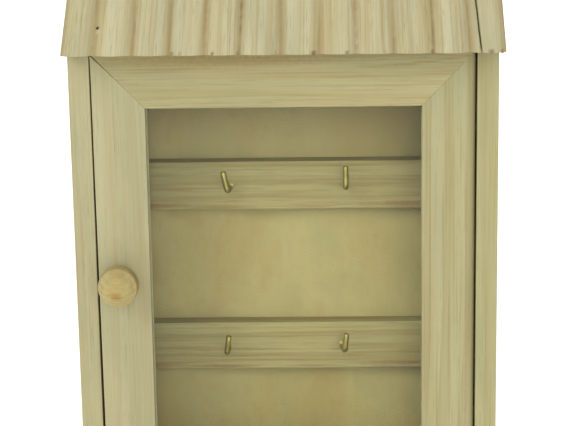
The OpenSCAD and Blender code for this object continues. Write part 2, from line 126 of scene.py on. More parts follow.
class Graph:
    """A material's node tree, with short calls for the nodes that the finishes here need."""

    def __init__(self, name):
        self.material = bpy.data.materials.new(name)
        self.material.use_nodes = True
        self.tree = self.material.node_tree
        self.tree.nodes.clear()
        self.out = self.tree.nodes.new("ShaderNodeOutputMaterial")
        self.shader = self.tree.nodes.new("ShaderNodeBsdfPrincipled")
        self.link(self.shader.outputs[0], self.out.inputs[0])

    def link(self, a, b):
        self.tree.links.new(a, b)

    def put(self, socket, value):
        if hasattr(value, "is_output"):
            self.link(value, socket)
        else:
            socket.default_value = value

    def coords(self, rotation=(0.0, 0.0, 0.0), offset=(0.0, 0.0, 0.0)):
        """The row frame's place in millimetres, turned and shifted."""
        tex = self.tree.nodes.new("ShaderNodeTexCoord")
        mapping = self.tree.nodes.new("ShaderNodeMapping")
        mapping.inputs["Rotation"].default_value = rotation
        mapping.inputs["Scale"].default_value = (1000.0, 1000.0, 1000.0)
        mapping.inputs["Location"].default_value = offset
        self.link(tex.outputs["Object"], mapping.inputs["Vector"])
        return mapping.outputs[0]

    def vec(self, op, a, b=(0.0, 0.0, 0.0)):
        n = self.tree.nodes.new("ShaderNodeVectorMath")
        n.operation = op
        self.put(n.inputs[0], a)
        self.put(n.inputs[1], b)
        return n.outputs["Value"] if op in ("LENGTH", "DOT_PRODUCT") else n.outputs["Vector"]

    def math(self, op, a, b=0.0, clamp=False):
        n = self.tree.nodes.new("ShaderNodeMath")
        n.operation = op
        n.use_clamp = clamp
        self.put(n.inputs[0], a)
        self.put(n.inputs[1], b)
        return n.outputs[0]

    def noise(self, place, stretch, detail=2.0, rough=0.5, distort=0.0, colour=False):
        """Noise whose features are 1/stretch millimetres long on each axis."""
        n = self.tree.nodes.new("ShaderNodeTexNoise")
        n.inputs["Scale"].default_value = 1.0
        n.inputs["Detail"].default_value = detail
        n.inputs["Roughness"].default_value = rough
        n.inputs["Distortion"].default_value = distort
        self.link(self.vec("MULTIPLY", place, stretch), n.inputs["Vector"])
        return n.outputs["Color" if colour else "Fac"]

    def spread(self, value, low, high, to_low=0.0, to_high=1.0):
        """value from low to high, spread over to_low to to_high."""
        n = self.tree.nodes.new("ShaderNodeMapRange")
        n.interpolation_type = "SMOOTHSTEP"
        self.put(n.inputs[0], value)
        for i, v in enumerate((low, high, to_low, to_high)):
            n.inputs[i + 1].default_value = v
        return n.outputs[0]

    def mix(self, share, a, b, blend="MIX"):
        n = self.tree.nodes.new("ShaderNodeMix")
        n.data_type = "RGBA"
        n.blend_type = blend
        self.put(n.inputs[0], share)
        self.put(n.inputs[6], a)
        self.put(n.inputs[7], b)
        return n.outputs[2]

    def attribute(self, name):
        n = self.tree.nodes.new("ShaderNodeAttribute")
        n.attribute_name = name
        return n.outputs["Fac"]

    def bump(self, height, distance_mm, strength=1.0, base=None):
        n = self.tree.nodes.new("ShaderNodeBump")
        n.inputs["Strength"].default_value = strength
        n.inputs["Distance"].default_value = distance_mm * MM
        self.link(height, n.inputs["Height"])
        if base is not None:
            self.link(base, n.inputs["Normal"])
        return n.outputs[0]

    def finish(self, colour, rough, normal, metallic=0.0, specular=0.5):
        self.put(self.shader.inputs["Base Color"], colour)
        self.put(self.shader.inputs["Roughness"], rough)
        if normal is not None:
            self.link(normal, self.shader.inputs["Normal"])
        self.shader.inputs["Metallic"].default_value = metallic
        self.shader.inputs["Specular IOR Level"].default_value = specular
        return self.material


# Each grain is the turning that lays the wood's length along the first axis, and that length's direction.
GRAIN_X = ((0.0, 0.0, 0.0), (1.0, 0.0, 0.0))
GRAIN_Z = ((0.0, math.pi / 2, 0.0), (0.0, 0.0, 1.0))
GRAIN_SLOPE = ((-SLOPE, 0.0, -math.pi / 2), (0.0, math.cos(SLOPE), math.sin(SLOPE)))

WOOD_GAIN = 0.82


def tinted(palette, r, g, b):
    return tuple((c[0] * r, c[1] * g, c[2] * b, 1.0) for c in palette)


PALE = srgb(200, 195, 158, WOOD_GAIN)
WARM = srgb(192, 181, 136, WOOD_GAIN)
GREEN_GREY = srgb(180, 180, 146, WOOD_GAIN)
BROWN = srgb(168, 148, 98, WOOD_GAIN)
DARK = srgb(122, 104, 66, WOOD_GAIN)
PAULOWNIA = (PALE, WARM, GREEN_GREY, BROWN, DARK)
ROOF_WOOD = tinted(PAULOWNIA, 1.05, 1.03, 1.01)
STRIP_WOOD = tinted(PAULOWNIA, 0.98, 0.96, 0.91)
LEFT_PANEL_WOOD = tinted(PAULOWNIA, 0.78, 0.76, 0.68)
RIGHT_PANEL_WOOD = tinted(PAULOWNIA, 0.74, 0.72, 0.58)
LEFT_STILE_WOOD = tinted(PAULOWNIA, 0.78, 0.76, 0.68)
RIGHT_STILE_WOOD = tinted(PAULOWNIA, 0.74, 0.73, 0.62)
# The door's top rail gets a darker, browner copy: partly its own tone, partly painted shade from the eave above it
TOP_RAIL_WOOD_IN_EAVE_SHADE = tinted(PAULOWNIA, 0.74, 0.70, 0.56)

# Darker, yellower copies of the wood for the insides of the case, and darker still for the back panel and key rails:
# painted warm shade inside the box
INSIDE_WOOD_IN_SHADE = (
    srgb(192, 182, 130, WOOD_GAIN),
    srgb(184, 168, 110, WOOD_GAIN),
    srgb(176, 170, 120, WOOD_GAIN),
    srgb(156, 132, 76, WOOD_GAIN),
    srgb(112, 92, 50, WOOD_GAIN),
)
BACK_WOOD = tinted(INSIDE_WOOD_IN_SHADE, 0.70, 0.66, 0.52)
KEY_RAIL_WOOD = tinted(INSIDE_WOOD_IN_SHADE, 0.63, 0.61, 0.52)
BEECH = (
    srgb(206, 190, 134, WOOD_GAIN),
    srgb(202, 176, 108, WOOD_GAIN),
    srgb(196, 184, 136, WOOD_GAIN),
    srgb(184, 146, 78, WOOD_GAIN),
    srgb(150, 112, 60, WOOD_GAIN),
)
KNOB_WOOD = tinted(BEECH, 0.73, 0.75, 0.71)


def marked(g, colour, marks):
    """The colour with soft marks on it, each (place, half size, tone, strength), in the row frame's millimetres."""
    here = g.coords()
    ragged = g.noise(here, (0.5, 0.5, 0.5), detail=3.0)
    for place, size, tone, strength in marks:
        away = g.vec("DIVIDE", g.vec("SUBTRACT", here, place), size)
        reach = g.math("ADD", g.vec("LENGTH", away), g.math("MULTIPLY", ragged, 0.8))
        share = g.spread(reach, 1.4, 0.5, 0.0, strength)
        colour = g.mix(share, colour, tone)
    return colour


def wood(name, grain, pith, ring=7.0, late=0.2, pores=0.25, streak=0.3, band=0.6, palette=PAULOWNIA, marks=()):
    """Raw sanded wood, solid through and through.

    pith is where the middle of the tree was, in millimetres from the row frame's origin, after the grain's turning.
    ring is the width of a year's growth. late, pores, streak and band say how strongly the late wood, the pores, the
    fine fibres and the broad soft bands show.
    """
    pale, warm, grey, brown, dark = palette
    turning, along = grain
    g = Graph(name)
    at = g.coords(turning, (pith[0], -pith[1], -pith[2]))
    here = g.vec("ADD", at, (abs(pith[0]) * 0.37 + pith[1] * 0.11, pith[2] * 0.23, pith[1] * 0.07))

    # Year rings, bent by slow noise along the grain and a little by quick noise
    slow = g.noise(here, (0.0035, 0.018, 0.018), detail=2.0, colour=True)
    bend = g.vec("MULTIPLY", g.vec("SUBTRACT", slow, (0.5, 0.5, 0.5)), (0.0, 14.0, 14.0))
    radius = g.vec("LENGTH", g.vec("MULTIPLY", g.vec("ADD", at, bend), (0.0, 1.0, 1.0)))
    quick = g.noise(here, (0.02, 0.45, 0.45), detail=3.0)
    radius = g.math("ADD", radius, g.math("MULTIPLY", quick, ring * 0.4))
    year = g.math("FRACT", g.math("DIVIDE", radius, ring))
    late_wood = g.math("MULTIPLY", g.spread(year, 0.35, 0.93), g.spread(year, 1.0, 0.94))

    # Broad bands, stains, fibres and pores
    broad = g.noise(here, (0.004, 0.13, 0.13), detail=3.0, rough=0.55, distort=0.4)
    stain = g.noise(here, (0.014, 0.045, 0.045), detail=2.0)
    fibre = g.noise(here, (0.014, 1.1, 1.1), detail=4.0, rough=0.62)
    hair = g.noise(here, (0.03, 2.6, 2.6), detail=2.0, rough=0.6)
    pore = g.spread(g.noise(here, (0.09, 3.0, 3.0), detail=1.0), 0.60, 0.72)
    pore = g.math("MULTIPLY", pore, g.spread(year, 0.8, 0.2, 0.3, 1.0))

    colour = g.mix(g.spread(broad, 0.36, 0.66, 0.0, band), pale, warm)
    colour = g.mix(g.spread(stain, 0.42, 0.68, 0.0, 0.6), colour, grey)
    colour = g.mix(g.math("MULTIPLY", late_wood, late), colour, brown)
    colour = g.mix(g.spread(fibre, 0.48, 0.72, 0.0, streak), colour, brown)
    colour = g.mix(g.spread(fibre, 0.48, 0.28, 0.0, streak * 0.8), colour, pale)
    colour = g.mix(g.spread(hair, 0.52, 0.72, 0.0, streak * 0.8), colour, grey)
    colour = g.mix(g.math("MULTIPLY", pore, pores), colour, dark)

    # End grain is browner than the sides of the board
    tex = g.tree.nodes.new("ShaderNodeTexCoord")
    facing = g.math("ABSOLUTE", g.vec("DOT_PRODUCT", tex.outputs["Normal"], along))
    colour = g.mix(g.spread(facing, 0.6, 0.95, 0.0, 0.45), colour, brown)
    # Sanded corners are a touch paler and splintered places darker; the carved valleys get painted shade, browner
    # the deeper they lie below the crests
    worn = g.math("MULTIPLY", g.attribute("worn"), g.spread(quick, 0.35, 0.6, 0.1, 0.4))
    colour = g.mix(worn, colour, pale)
    valley_shade = g.math("MULTIPLY", g.attribute("valley_shade"), g.spread(quick, 0.3, 0.65, 0.55, 1.0))
    valley = tuple(0.78 * b + 0.22 * d for b, d in zip(brown, dark))
    colour = g.mix(valley_shade, colour, valley)
    colour = g.mix(g.attribute("torn"), colour, dark)
    if marks:
        colour = marked(g, colour, marks)

    rough = g.spread(fibre, 0.3, 0.7, 0.60, 0.78)
    height = g.math("SUBTRACT", g.math("MULTIPLY", fibre, 0.6), g.math("MULTIPLY", pore, 0.5))
    height = g.math("SUBTRACT", height, g.math("MULTIPLY", late_wood, 0.12))
    return g.finish(colour, rough, g.bump(height, 0.09, 0.7), specular=0.3)


def thin_panel(name):
    """The smooth back panel: soft clouds of warm and greenish tone over a very fine upright grain, with painted
    shade towards its top.
    """
    pale, warm, grey, brown, dark = BACK_WOOD
    g = Graph(name)
    here = g.coords()
    cloud = g.noise(here, (0.022, 0.022, 0.014), detail=3.0, rough=0.55)
    patch = g.noise(g.vec("ADD", here, (71.0, 13.0, 35.0)), (0.05, 0.05, 0.03), detail=2.0, distort=0.5)
    mottle = g.noise(here, (0.35, 0.35, 0.22), detail=4.0, rough=0.65)
    fibre = g.noise(here, (0.9, 0.9, 0.04), detail=3.0, rough=0.6)
    high = g.vec("DOT_PRODUCT", here, (0.0, 0.0, 1.0))
    fleck = g.spread(g.noise(here, (0.9, 0.9, 0.35), detail=1.0), 0.72, 0.80)
    colour = g.mix(g.spread(cloud, 0.38, 0.64), pale, warm)
    colour = g.mix(g.spread(patch, 0.45, 0.70, 0.0, 0.6), colour, grey)
    colour = g.mix(g.spread(patch, 0.42, 0.25, 0.0, 0.35), colour, brown)
    colour = g.mix(g.spread(mottle, 0.45, 0.72, 0.0, 0.28), colour, brown)
    # Painted shade: browner towards the top of the panel, where the case's top and the door's top rail shade it
    colour = g.mix(g.spread(high, 168.0, 215.0, 0.0, 0.3), colour, brown)
    colour = g.mix(g.spread(fibre, 0.45, 0.75, 0.0, 0.16), colour, brown)
    colour = g.mix(g.math("MULTIPLY", fleck, 0.25), colour, dark)
    colour = g.mix(g.math("MULTIPLY", g.attribute("worn"), 0.3), colour, pale)
    rough = g.spread(mottle, 0.3, 0.7, 0.52, 0.68)
    height = g.math("ADD", g.math("MULTIPLY", fibre, 0.5), g.math("MULTIPLY", mottle, 0.5))
    return g.finish(colour, rough, g.bump(height, 0.04, 0.5), specular=0.3)


def metal(name, base, worn, rough=(0.28, 0.45), scratch=(0.6, 0.6, 0.6), scratch_mm=0.015, spots=0.3):
    """A metal with cloudy tarnish, fine scratches and uneven gloss."""
    g = Graph(name)
    here = g.coords()
    cloud = g.noise(here, (0.22, 0.22, 0.22), detail=4.0, rough=0.6)
    fine = g.noise(here, scratch, detail=3.0, rough=0.7)
    colour = g.mix(g.math("MULTIPLY", g.spread(cloud, 0.42, 0.72), spots), base, worn)
    colour = g.mix(g.math("MULTIPLY", g.spread(fine, 0.6, 0.8), 0.25), colour, worn)
    gloss = g.spread(g.math("ADD", cloud, g.math("MULTIPLY", fine, 0.4)), 0.5, 0.9, rough[0], rough[1])
    return g.finish(colour, gloss, g.bump(fine, scratch_mm, 0.6), metallic=1.0)


def window_glass(name):
    """Clear float glass that lets the lamps' light through to what is behind it."""
    g = Graph(name)
    here = g.coords()
    smear = g.noise(here, (0.03, 0.03, 0.012), detail=3.0)
    gloss = g.spread(smear, 0.45, 0.8, 0.0, 0.04)
    g.finish((0.97, 0.99, 0.975, 1.0), gloss, None)
    g.shader.inputs["Transmission Weight"].default_value = 1.0
    g.shader.inputs["IOR"].default_value = 1.2
    path = g.tree.nodes.new("ShaderNodeLightPath")
    clear = g.tree.nodes.new("ShaderNodeBsdfTransparent")
    clear.inputs[0].default_value = (0.97, 0.99, 0.975, 1.0)
    swap = g.tree.nodes.new("ShaderNodeMixShader")
    g.link(path.outputs["Is Shadow Ray"], swap.inputs[0])
    g.link(g.shader.outputs[0], swap.inputs[1])
    g.link(clear.outputs[0], swap.inputs[2])
    g.link(swap.outputs[0], g.out.inputs[0])
    return g.material


BRASS = metal(
    "brass", srgb(158, 146, 82), srgb(112, 98, 44), rough=(0.46, 0.62), scratch=(1.5, 1.5, 1.5), spots=0.5
)
ZINC = metal("zinc_plate", srgb(190, 192, 194), srgb(120, 122, 122), scratch=(0.4, 0.4, 2.5))
DARK_STEEL = metal("dark_steel", srgb(92, 86, 78), srgb(58, 46, 36), rough=(0.4, 0.6), spots=0.6)
PIN_STEEL = metal("pin_steel", srgb(176, 176, 174), srgb(112, 106, 98), scratch=(1.5, 1.5, 0.2))
NICKEL = metal("nickel", srgb(168, 164, 156), srgb(96, 92, 86), rough=(0.15, 0.3))
GLASS = window_glass("float_glass")


# ---------------------------------------------------------------- wooden boards

CUT_EVERY = 7.0 * MM


def cut_across(bm, lo, hi):
    """Cuts the mesh across its longest side, so that its long edges can wander a little."""
    size = hi - lo
    axis = max(range(3), key=lambda i: size[i])
    normal = Vector((0.0, 0.0, 0.0))
    normal[axis] = 1.0
    count = int(size[axis] / CUT_EVERY)
    for i in range(1, count):
        point = lo.copy()
        point[axis] += size[axis] * i / count
        geom = bm.verts[:] + bm.edges[:] + bm.faces[:]
        bmesh.ops.bisect_plane(bm, geom=geom, plane_co=point, plane_no=normal, dist=1e-6)


def is_board_edge(edge, least):
    """True for an edge between two of the board's own flat faces, not for a rim of a small bore."""
    if len(edge.link_faces) != 2 or edge.calc_face_angle(0.0) < math.radians(30):
        return False
    return edge.calc_length() > least


def board(node, body, material, slot, round_mm=0.6, uneven_mm=0.08, least_mm=2.5, cuts=True):
    """A CAD board with its corners rounded and its edges slightly uneven, as a hand-sanded piece is."""
    lo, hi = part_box(node)
    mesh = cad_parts[node].data.copy()
    mesh.name = node + "_wood"
    bm = bmesh.new()
    bm.from_mesh(mesh)
    bmesh.ops.remove_doubles(bm, verts=bm.verts, dist=1e-6)
    flat = math.radians(0.5)
    bmesh.ops.dissolve_limit(bm, angle_limit=flat, verts=bm.verts, edges=bm.edges)
    if cuts:
        cut_across(bm, lo, hi)
    layer = bm.faces.layers.float.new("worn")
    corners = [e for e in bm.edges if is_board_edge(e, least_mm * MM)]
    made = bmesh.ops.bevel(
        bm, geom=corners, offset=round_mm * MM, segments=3, profile=0.5, affect="EDGES", clamp_overlap=False
    )
    for f in made["faces"]:
        f[layer] = 1.0
    touched = {v for f in made["faces"] for v in f.verts}
    for v in touched:
        push = noise.noise_vector(v.co * 90.0 + Vector((lo.x, lo.z, hi.z)) * 40.0)
        v.co += push * (uneven_mm * MM)
        for i in range(3):
            v.co[i] = min(hi[i], max(lo[i], v.co[i]))
    bm.to_mesh(mesh)
    bm.free()
    shade(mesh, 50)
    obj = new_object(node + "_wood", mesh, body, material, slot)
    weighted_normals(obj)
    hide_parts(node)
    return obj


def saw_marks_and_top_shade(node):
    """Brown marks along the lower edge of a key rail, stronger towards its ends, and painted shade over its top
    face.
    """
    lo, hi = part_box(node)
    y, z = lo.y / MM, lo.z / MM
    burn = srgb(140, 102, 44, 0.62)
    brown = KEY_RAIL_WOOD[3]
    return [
        ((-74.0, y, z + 1.8), (32.0, 6.0, 2.2), burn, 0.75),
        ((-32.0, y, z + 1.2), (26.0, 6.0, 1.4), burn, 0.55),
        ((12.0, y, z + 1.2), (22.0, 6.0, 1.2), burn, 0.4),
        ((62.0, y, z + 2.4), (40.0, 6.0, 2.2), burn, 0.7),
        ((-60.0, y, z + 10.5), (30.0, 6.0, 1.4), brown, 0.6),
        ((-12.0, y, z + 7.0), (26.0, 6.0, 0.9), brown, 0.4),
        ((40.0, y, z + 12.0), (36.0, 6.0, 1.2), brown, 0.55),
        # Painted shade: a brown band over the rail's top face, standing in for the shadow that lies on it
        ((0.0, y + 5.0, hi.z / MM + 1.0), (95.0, 6.5, 1.6), srgb(150, 118, 52, 0.8), 0.85),
    ]


def make_case():
    case = "case_wood"
    left = wood("left_panel_grain", GRAIN_Z, (11, 64, 179), ring=8.5, streak=0.45, palette=LEFT_PANEL_WOOD)
    right = wood("right_panel_grain", GRAIN_Z, (47, 94, -192), ring=9.0, streak=0.45, palette=RIGHT_PANEL_WOOD)
    board("left_side_panel", CASE, left, case, round_mm=0.45)
    board("right_side_panel", CASE, right, case, round_mm=0.45)
    board("bottom_board", CASE, wood("bottom_grain", GRAIN_X, (5, 40, 90), palette=INSIDE_WOOD_IN_SHADE), case)
    board("top_board", CASE, wood("top_grain", GRAIN_X, (90, -42, 190), palette=INSIDE_WOOD_IN_SHADE), case)
    board("hanging_rail", CASE, wood("hanging_grain", GRAIN_X, (33, 60, 210), ring=5.0, late=0.35), case)
    board("door_stop_block", CASE, wood("stop_grain", GRAIN_Z, (77, 20, 60), ring=5.0, late=0.3), case, cuts=False)
    board("back_panel", CASE, thin_panel("back_mottle"), "back_panel_wood", round_mm=0.3)
    slot = "key_rail_wood"
    looks = dict(late=0.45, streak=0.75, pores=0.5, palette=KEY_RAIL_WOOD)
    for node, pith in (("upper_key_rail", (12, 58, 220)), ("lower_key_rail", (210, 76, 32))):
        board(node, CASE, wood(node + "_grain", GRAIN_X, pith, marks=saw_marks_and_top_shade(node), **looks), slot, round_mm=0.3)


def flame_marks_and_eave_shade():
    """The brown curved streak in the grain at the right end of the door's top rail, thin brown grain lines, and
    painted shade in broad bands along the rail's top, under the eave.
    """
    lo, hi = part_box("door_top_rail")
    y, z = lo.y / MM, hi.z / MM
    # The first five steps draw the curved streak; the three broad bands just under the top edge are painted shade
    # from the eave; the thin lines lower down are grain
    steps = ((44.0, -6.6, 15.0, 1.3, 0.35), (56.0, -6.0, 12.0, 1.0, 0.6), (67.0, -4.9, 10.0, 0.8, 0.7))
    steps += ((77.0, -3.6, 9.0, 0.8, 0.65), (86.0, -2.4, 7.0, 0.7, 0.5), (30.0, -2.0, 60.0, 1.6, 0.4))
    steps += ((-40.0, -1.6, 45.0, 1.6, 0.45), (-30.0, -3.5, 80.0, 3.6, 0.6), (-52.0, -7.0, 42.0, 0.6, 0.55))
    steps += ((8.0, -9.4, 50.0, 0.5, 0.45), (-30.0, -11.5, 40.0, 0.4, 0.35), (52.0, -16.0, 22.0, 0.4, 0.45))
    return [((x, y, z + dz), (long, 8.0, high), TOP_RAIL_WOOD_IN_EAVE_SHADE[3], share) for x, dz, long, high, share in steps]


def stile_marks():
    """The thin brown line in the grain beside the opening on the right stile."""
    lo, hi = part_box("door_right_stile")
    x, y, z = lo.x / MM + 3.7, lo.y / MM, (lo.z + hi.z) / MM / 2
    brown = RIGHT_STILE_WOOD[3]
    lines = ((0.0, 20.0, 0.5, 95.0, 0.8), (17.0, 0.0, 0.7, 90.0, 0.55), (9.0, -30.0, 0.9, 60.0, 0.35))
    return [((x + dx, y, z + dz), (wide, 8.0, high), brown, share) for dx, dz, wide, high, share in lines]


def plane_edge(obj, edge_x, top_mm, bottom_mm):
    """Planes a stile's outer edge, so that the gap beside it widens or narrows downwards as in the photo."""
    lo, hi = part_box("door_left_stile")
    for v in obj.data.vertices:
        near = 1.0 - abs(v.co.x - edge_x) / (3.0 * MM)
        if near > 0.0:
            up = (v.co.z - lo.z) / (hi.z - lo.z)
            v.co.x += near * (bottom_mm + (top_mm - bottom_mm) * up) * MM


def open_mitre(obj, corner_x, corner_z):
    """Opens the mitre at the door's top left by a hair that fades out along the joint."""
    reach = 17.0 * MM
    for v in obj.data.vertices:
        along = v.co.x - corner_x
        off = v.co.z - (corner_z - along)
        if along < reach and abs(off) < 0.6 * MM:
            push = 0.2 * MM * (1.0 - max(0.0, along) / reach)
            v.co.x -= push
            v.co.z -= push


def make_door():
    slot = "door_wood"
    left = wood("left_stile_grain", GRAIN_Z, (300, -94, 148), ring=9.5, palette=LEFT_STILE_WOOD)
    looks = dict(late=0.35, streak=0.45, marks=stile_marks(), palette=RIGHT_STILE_WOOD)
    right = wood("right_stile_grain", GRAIN_Z, (190, -92, -126), ring=6.5, **looks)
    looks = dict(late=0.15, streak=0.5, band=0.4, marks=flame_marks_and_eave_shade(), palette=TOP_RAIL_WOOD_IN_EAVE_SHADE)
    top = wood("top_rail_grain", GRAIN_X, (120, -88, 282), **looks)
    bottom = wood("bottom_rail_grain", GRAIN_X, (260, -70, -26), ring=8.0, palette=LEFT_STILE_WOOD)
    for node, grain in (("left_stile", left), ("right_stile", right), ("top_rail", top), ("bottom_rail", bottom)):
        made = board("door_" + node, DOOR, grain, slot, round_mm=0.22, uneven_mm=0.05)
        lo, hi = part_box("door_" + node)
        if node == "left_stile":
            open_mitre(made, lo.x, hi.z)
            plane_edge(made, lo.x, -0.32, 0.41)
        if node == "right_stile":
            plane_edge(made, hi.x, 0.33, 0.33)
    for side, grain in (("left", GRAIN_Z), ("right", GRAIN_Z), ("top", GRAIN_X), ("bottom", GRAIN_X)):
        name = "glazing_bead_" + side
        pith = (40 + 30 * len(side), 30, 40)
        board(name, DOOR, wood(name + "_grain", grain, pith, ring=4.0), "bead_wood", round_mm=0.4)
    board("glass_pane", DOOR, GLASS, "glass", round_mm=0.25, uneven_mm=0.0, cuts=False)


# ---------------------------------------------------------------- the carved roof

ROOF_T = 8.0
WAVE_H = 1.5
WAVE_WIDTHS = (14.5, 18, 17, 16.5, 15.5, 18.5, 18, 16.5, 17.5, 17.5, 17, 16.5)
STRIP_W = 11.3
STRIP_LEAN = math.radians(1.7)
STRIP_GAP = 0.5
EAVE_Z = ROOF_LO.z / MM
EAVE_SAG = (0.2, 0.6)
UNDER_Y = ROOF_LO.y / MM + ROOF_T / math.sin(SLOPE)
# Places along the eave where a splinter is missing: distance from the roof's left edge, width and depth in mm
CHIPS = (
    (51.0, 2.4, 0.9), (54.6, 1.6, 0.5), (69.5, 1.8, 1.1), (81.0, 1.4, 0.9), (98.4, 1.3, 0.4),
    (115.6, 2.6, 1.3), (130.8, 2.2, 0.9), (148.0, 1.2, 0.4), (169.5, 2.0, 1.2), (196.0, 3.4, 0.9), (201.0, 1.6, 0.8),
)


# How rough the bottom of a valley was left, for the valleys that the carver's tool tore
TORN_VALLEYS = {1: 0.3, 2: 0.4, 3: 0.35, 4: 0.4, 5: 0.95, 6: 0.3, 8: 0.55, 9: 0.5, 10: 0.75, 11: 0.3}


def valley_places():
    """Where the valleys lie across the roof, in millimetres from its left edge."""
    places = [0.0]
    for w in WAVE_WIDTHS:
        places.append(places[-1] + w)
    return places


VALLEYS = valley_places()
ROOF_W = VALLEYS[-1]


def valley_line(k, along):
    """Where valley k lies across the roof at a distance up the slope; the carver's hand wandered a little."""
    inner = 0 < k < len(WAVE_WIDTHS)
    return VALLEYS[k] + (0.55 * wander(along * 0.018, k + 3) if inner else 0.0)


def torn_valley(x, along):
    """How splintered the wood is at a place, from 0 to 1, in short dashes along the torn valleys."""
    most = 0.0
    for k, share in TORN_VALLEYS.items():
        off = abs(x - valley_line(k, along) - 0.4)
        if off < 0.9:
            dash = 0.5 + 1.1 * wander(along * 0.33, k + 70) - 0.5 * (1.0 - share)
            most = max(most, share * min(1.0, max(0.0, dash * 1.6)) * (1.0 - off / 0.9))
    return most


def roof_height(x, along):
    """Thickness of the roof, x across it and along its slope, both in millimetres."""
    i = max(k for k in range(len(WAVE_WIDTHS)) if VALLEYS[k] <= x + 1e-9)
    if x < valley_line(i, along):
        i -= 1
    elif x > valley_line(i + 1, along):
        i += 1
    i = min(len(WAVE_WIDTHS) - 1, max(0, i))
    left, right = valley_line(i, along), valley_line(i + 1, along)
    half = (right - left) / 2
    off = (x - (left + right) / 2) / half
    deep = WAVE_H * (1.0 + 0.12 * wander(along * 0.02, i + 40))
    h = ROOF_T - deep * off * off
    h += 0.07 * wander(x * 0.35 + along * 0.01, 60) + 0.05 * wander(along * 0.12 + x * 0.05, 61)
    return min(ROOF_T, h)


def chip_depth(x):
    """How far a missing splinter cuts into the eave at x."""
    deep = 0.0
    for place, width, depth in CHIPS:
        d = abs(x - place) / (width / 2)
        if d < 1.0:
            deep = max(deep, depth * (1.0 - d) ** 0.6)
    return deep


def edge_drop(d, r=0.9):
    """How far a surface has fallen at distance d from an edge rounded to radius r."""
    return 0.0 if d >= r else r - math.sqrt(max(0.0, r * r - (r - d) ** 2))


def strip_line(along):
    """Where the strip's joint lies at a distance up the slope; it is a slightly crooked line."""
    crooked = 0.22 * wander(along * 0.05, 91) + 0.1 * wander(along * 0.21, 92)
    return ROOF_W - STRIP_W - along * math.tan(STRIP_LEAN) + crooked


def slope_rows():
    """Shares of the way up the slope, closer together at the eave."""
    rows = [0.0, 0.003, 0.008, 0.015, 0.03, 0.05]
    while rows[-1] < 0.985:
        rows.append(rows[-1] + 0.022)
    rows[-1] = 0.99
    return rows + [1.0]


def roof_piece(name, node, columns, place_of, material):
    """A slab of the roof. columns are places across it, and place_of(column, along) gives each one's real place."""
    rows = slope_rows()
    sin_s, cos_s, tan_s = math.sin(SLOPE), math.cos(SLOPE), math.tan(SLOPE)
    top_y = BACK_Y / MM
    left_mm = ROOF_LO.x / MM
    long = (top_y - ROOF_LO.y / MM) / cos_s
    verts, torn, valley_shade = [], [], []

    def point(x, s, h):
        y = UNDER_Y + s * cos_s - h * sin_s
        sag = EAVE_SAG[0] + (EAVE_SAG[1] - EAVE_SAG[0]) * x / ROOF_W
        z = EAVE_Z + s * sin_s + h * cos_s - sag * max(0.0, 1.0 - s / 60.0)
        return Vector(((left_mm + x) * MM, min(y, top_y) * MM, z * MM))

    first, last = columns[0], columns[-1]
    for c in columns:
        for r in rows:
            along = r * long
            x = place_of(c, along)
            edge = min(x - place_of(first, along), place_of(last, along) - x)
            carved = roof_height(x, along)
            h = carved - edge_drop(edge)
            chip = chip_depth(x) if r < 0.02 else 0.0
            start = -h / tan_s
            end = (top_y - UNDER_Y + h * sin_s) / cos_s
            h_cut = h - chip * max(0.0, 1.0 - r / 0.02) * 0.75
            verts.append(point(x, start + (end - start) * r, h_cut))
            splinter = min(1.0, chip * 0.9) if r < 0.02 else 0.0
            torn.append(max(splinter, 0.8 * torn_valley(x, along)))
            # Painted shade for the valleys: 0 near the crests, rising to 1 at the bottom of each valley
            valley_shade.append(min(1.0, max(0.0, (ROOF_T - carved) / WAVE_H - 0.3) / 0.7) ** 1.3)
        for r in reversed(rows):
            along = r * long
            x = place_of(c, along)
            end = (top_y - UNDER_Y) / cos_s
            verts.append(point(x, end * r, 0.0))
            torn.append(0.0)
            valley_shade.append(0.0)
    ring = 2 * len(rows)
    faces = []
    for c in range(len(columns) - 1):
        for j in range(ring):
            a, b = c * ring + j, c * ring + (j + 1) % ring
            faces.append((a, b, b + ring, a + ring))
    for base in (0, (len(columns) - 1) * ring):
        for j in range(len(rows) - 1):
            quad = (base + j, base + j + 1, base + ring - 2 - j, base + ring - 1 - j)
            faces.append(quad)
    mesh = bpy.data.meshes.new(name)
    mesh.from_pydata(verts, [], faces)
    mesh.attributes.new("torn", "FLOAT", "POINT").data.foreach_set("value", torn)
    mesh.attributes.new("valley_shade", "FLOAT", "POINT").data.foreach_set("value", valley_shade)
    bm = bmesh.new()
    bm.from_mesh(mesh)
    bmesh.ops.remove_doubles(bm, verts=bm.verts, dist=1e-7)
    bmesh.ops.recalc_face_normals(bm, faces=bm.faces)
    bm.to_mesh(mesh)
    bm.free()
    shade(mesh, 42)
    obj = new_object(name, mesh, CASE, material, "roof_wood")
    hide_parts(node)
    return obj


def spaced(start, end, step):
    count = max(2, round((end - start) / step))
    return [start + (end - start) * i / count for i in range(count + 1)]


def nail_marks():
    """A dark rim around each of the roof's brads, and a paler bruise below it."""
    marks = []
    for part in islands("roof_nails"):
        head, length = ends_of(part, Vector((0.0, math.sin(SLOPE), -math.cos(SLOPE))))
        x, y, z = head / MM
        marks.append(((x, y - 2.0, z - 1.5), (1.6, 2.6, 2.6), PALE, 0.5))
        marks.append(((x, y, z), (1.0, 1.5, 1.5), DARK, 0.8))
    return marks


